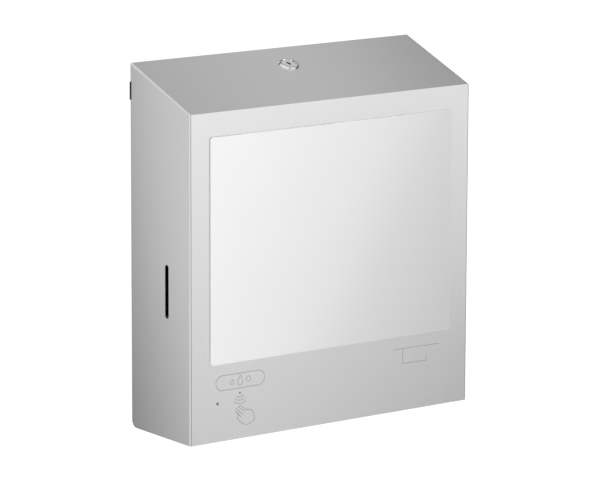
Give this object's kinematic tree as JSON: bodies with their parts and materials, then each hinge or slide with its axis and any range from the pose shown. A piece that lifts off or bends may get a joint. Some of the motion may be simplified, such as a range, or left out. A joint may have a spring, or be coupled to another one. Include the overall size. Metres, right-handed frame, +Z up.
{
  "type": "towel and soap dispenser",
  "caption": "Wall-hung stainless dispenser for folded paper towels and touchless soap, with a mirror on its hinged, locking hood and a motor-driven hose pump inside.",
  "frame": {"origin": "middle of the four wall screws, on the wall plane", "axes": "+Z up, +Y into the wall, +X to the right as seen from the front"},
  "size_m": [0.4013, 0.1221, 0.4266],
  "materials": {
    "brushed_steel": "vertical brushed grain, satin",
    "plate_steel": "mill finish sheet",
    "mirror": "silvered glass",
    "foam_tape": "foam tape",
    "lock_chrome": "plated, polished",
    "pin_steel": "turned steel",
    "white_nylon": "unfilled nylon",
    "black_rubber": "moulded rubber",
    "black_plastic": "fine moulded texture",
    "grey_plastic": "fine moulded texture",
    "dark_lens": "dark infrared window",
    "bush_brass": "turned, plain",
    "clear_cover": "clear moulded",
    "motor_can": "zinc plated can",
    "pump_hose": "translucent silicone",
    "smoke_tank": "smoke tinted, translucent",
    "board_green": "solder mask",
    "cell_wrap": "plain sleeve"
  },
  "bodies": {
    "frame": {"back_plate": "plate_steel", "base_pan": "plate_steel", "mouth_ring": "black_plastic", "towel_guide_left": "plate_steel", "towel_guide_right": "plate_steel", "pump_chassis": "grey_plastic", "gear_plate": "grey_plastic", "pump_plate": "pin_steel", "plate_spacers": "pin_steel", "pump_housing": "grey_plastic", "pump_cover": "clear_cover", "shaft_bushes": "bush_brass", "idler_axle": "pin_steel", "pump_motor": "motor_can", "pump_hose": "pump_hose", "tank_socket": "black_plastic", "soap_nozzle": "black_plastic", "nozzle_valve": "black_rubber", "sensor_body": "black_plastic", "sensor_lenses": "dark_lens", "control_board": "board_green", "switch_body": "black_plastic", "battery_box": "grey_plastic", "battery_cells": "cell_wrap", "battery_contacts": "bush_brass", "lock_keeper": "plate_steel", "cable_plug": "black_rubber", "hinge_bushes": "white_nylon", "hood_buffers": "black_rubber"},
    "hood": {"hood": "brushed_steel", "hinge_pins": "pin_steel", "mirror": "mirror", "mirror_tape": "foam_tape", "status_lens": "dark_lens", "lock_body": "lock_chrome", "lock_nut": "lock_chrome"},
    "lock_plug": {"lock_plug": "lock_chrome", "lock_cam": "lock_chrome", "cam_screw": "lock_chrome"},
    "soap_tank": {"soap_tank": "smoke_tank"},
    "tank_lid": {"tank_lid": "black_plastic"},
    "battery_door": {"battery_door": "grey_plastic"},
    "rocker": {"rocker": "black_plastic"},
    "pump_rotor": {"pump_rotor": "black_plastic", "rotor_gear": "white_nylon", "roller_pins": "pin_steel"},
    "pump_roller_1": {"pump_roller_1": "white_nylon"},
    "pump_roller_2": {"pump_roller_2": "white_nylon"},
    "pump_roller_3": {"pump_roller_3": "white_nylon"},
    "idler_gear": {"idler_gear": "white_nylon"},
    "motor_shaft": {"motor_shaft": "pin_steel", "motor_pinion": "bush_brass"}
  },
  "joints": [
    {"name": "hood_hinge", "type": "hinge", "parent": "frame", "child": "hood", "pos_m": [0, -0.01, -0.236], "axis": [1, 0, 0], "range_deg": [0, 85]},
    {"name": "lock_turn", "type": "hinge", "parent": "hood", "child": "lock_plug", "pos_m": [-0.0041, -0.03839, 0.1676], "axis": [0, 0.3511, -0.9363], "range_deg": [0, 90]},
    {"name": "tank_lift", "type": "slide", "parent": "frame", "child": "soap_tank", "axis": [0, 0, 1], "range_m": [0, 0.02]},
    {"name": "lid_hinge", "type": "hinge", "parent": "soap_tank", "child": "tank_lid", "pos_m": [-0.132, -0.044, 0.02], "axis": [-1, 0, 0], "range_deg": [0, 95]},
    {"name": "battery_door_hinge", "type": "hinge", "parent": "frame", "child": "battery_door", "pos_m": [-0.132, -0.0204, 0.125], "axis": [1, 0, 0], "range_deg": [0, 110]},
    {"name": "rocker_tip", "type": "hinge", "parent": "frame", "child": "rocker", "pos_m": [-0.175, -0.0767, -0.215], "axis": [-1, 0, 0], "range_deg": [0, 20]},
    {"name": "rotor_spin", "type": "hinge", "parent": "frame", "child": "pump_rotor", "pos_m": [-0.114, -0.1025, -0.171], "axis": [0, 1, 0], "continuous": true},
    {"name": "roller_1_spin", "type": "hinge", "parent": "pump_rotor", "child": "pump_roller_1", "pos_m": [-0.114, -0.1025, -0.157], "axis": [0, 1, 0], "continuous": true},
    {"name": "roller_2_spin", "type": "hinge", "parent": "pump_rotor", "child": "pump_roller_2", "pos_m": [-0.12612, -0.1025, -0.178], "axis": [0, 1, 0], "continuous": true},
    {"name": "roller_3_spin", "type": "hinge", "parent": "pump_rotor", "child": "pump_roller_3", "pos_m": [-0.10188, -0.1025, -0.178], "axis": [0, 1, 0], "continuous": true},
    {"name": "idler_spin", "type": "hinge", "parent": "frame", "child": "idler_gear", "pos_m": [-0.134, -0.1025, -0.171], "axis": [0, 1, 0], "continuous": true},
    {"name": "motor_spin", "type": "hinge", "parent": "frame", "child": "motor_shaft", "pos_m": [-0.144, -0.1025, -0.15368], "axis": [0, 1, 0], "continuous": true}
  ],
  "couplings": [
    {"joint": "roller_1_spin", "follows": "rotor_spin", "ratio": -3.375},
    {"joint": "roller_2_spin", "follows": "rotor_spin", "ratio": -3.375},
    {"joint": "roller_3_spin", "follows": "rotor_spin", "ratio": -3.375},
    {"joint": "idler_spin", "follows": "rotor_spin", "ratio": -3},
    {"joint": "motor_spin", "follows": "rotor_spin", "ratio": 9}
  ]
}
